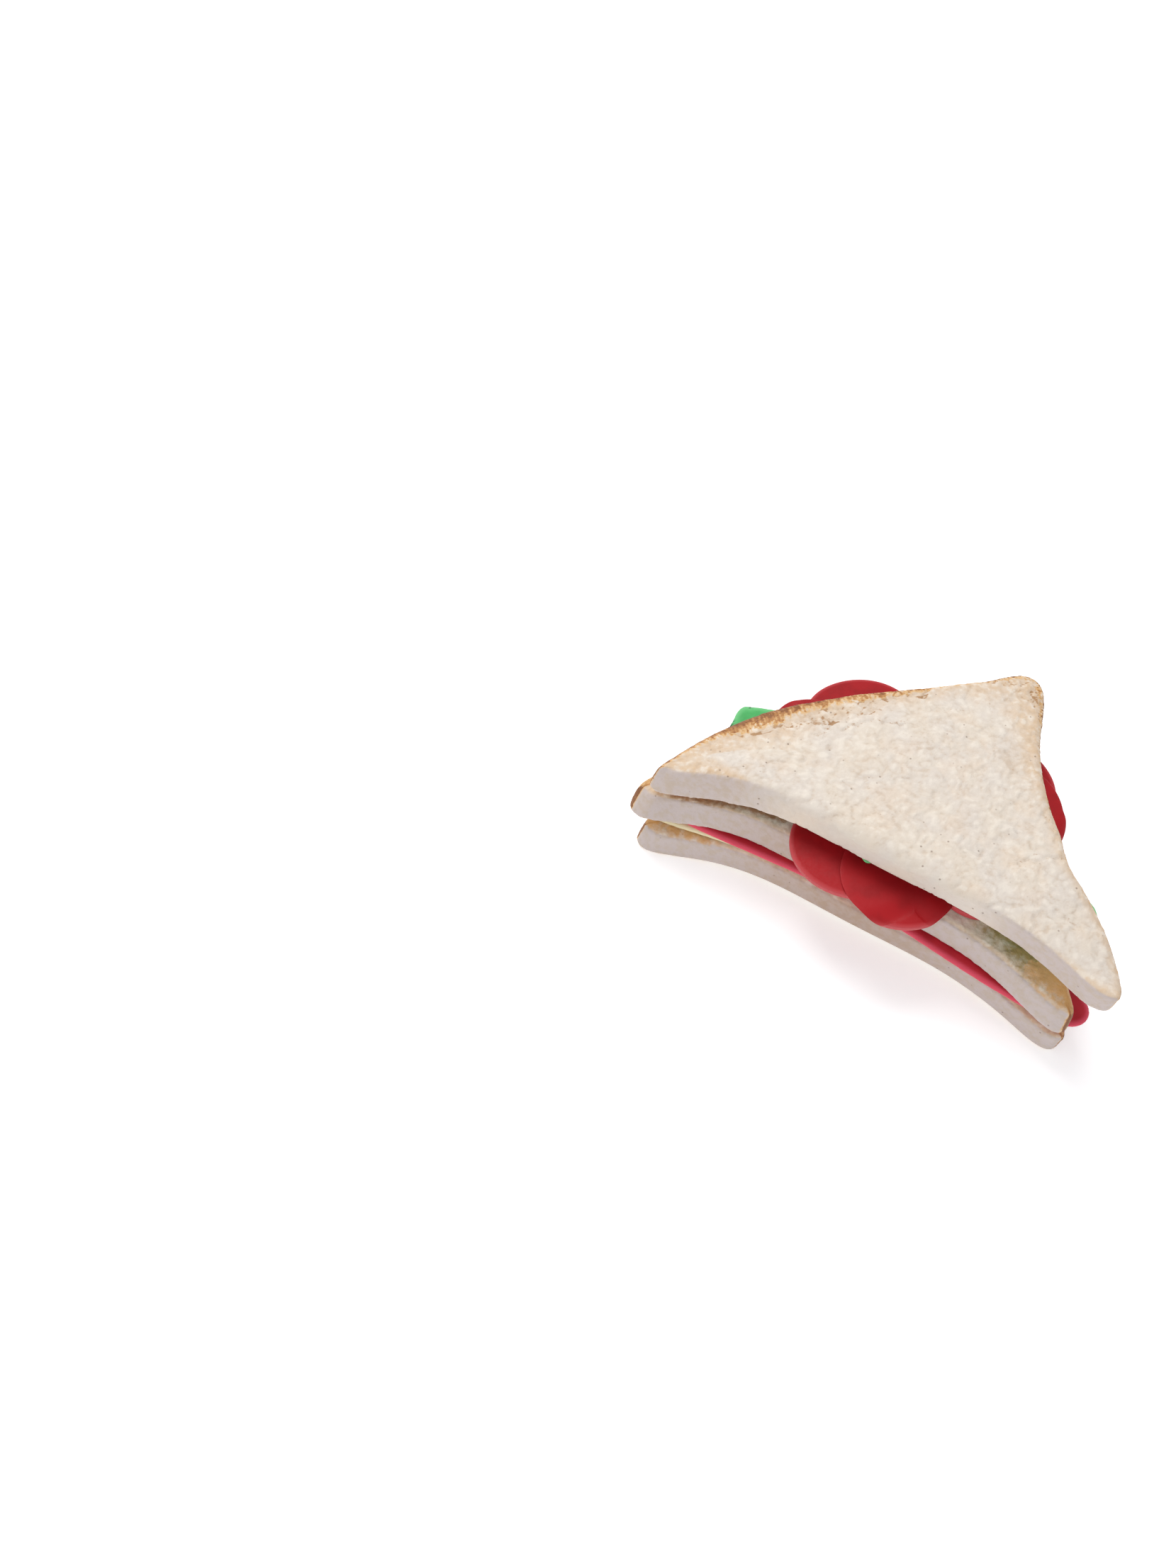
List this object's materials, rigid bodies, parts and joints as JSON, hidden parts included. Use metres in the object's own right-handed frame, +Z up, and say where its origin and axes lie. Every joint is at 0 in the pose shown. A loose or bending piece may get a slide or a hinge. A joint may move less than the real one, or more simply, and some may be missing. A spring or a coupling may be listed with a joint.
{
  "type": "artificial tomato and cheese club sandwich half",
  "caption": "Artificial triangular club sandwich half: painted foam bread slices with soft vinyl lettuce, tomato, ham and cheese between them, cut corner to corner.",
  "frame": {"origin": "middle of the stack's outline, at the level of the table it rests on", "axes": "+X along the cut edge to the viewer's right when the cut edge faces the viewer, -Y towards the cut edge, +Z up through the layers"},
  "size_m": [0.1698, 0.1104, 0.053],
  "materials": {
    "bread": "moulded foam, airbrushed warm cream with brown crust edges, matt",
    "cheese": "soft vinyl sheet, pale yellow, satin",
    "ham": "soft vinyl sheet, deep pink-red, satin",
    "tomato": "soft vinyl slice, deep red, satin",
    "lettuce": "thin soft vinyl leaf, bright green, satin"
  },
  "bodies": {
    "root": {"bread_bottom": "bread", "bread_middle": "bread", "bread_top": "bread", "cheese": "cheese", "ham": "ham", "tomato_front_left": "tomato", "tomato_front_right": "tomato", "tomato_front_middle": "tomato", "tomato_crown": "tomato", "tomato_ear": "tomato", "tomato_side": "tomato", "tomato_back_left": "tomato", "lettuce": "lettuce"}
  },
  "joints": []
}
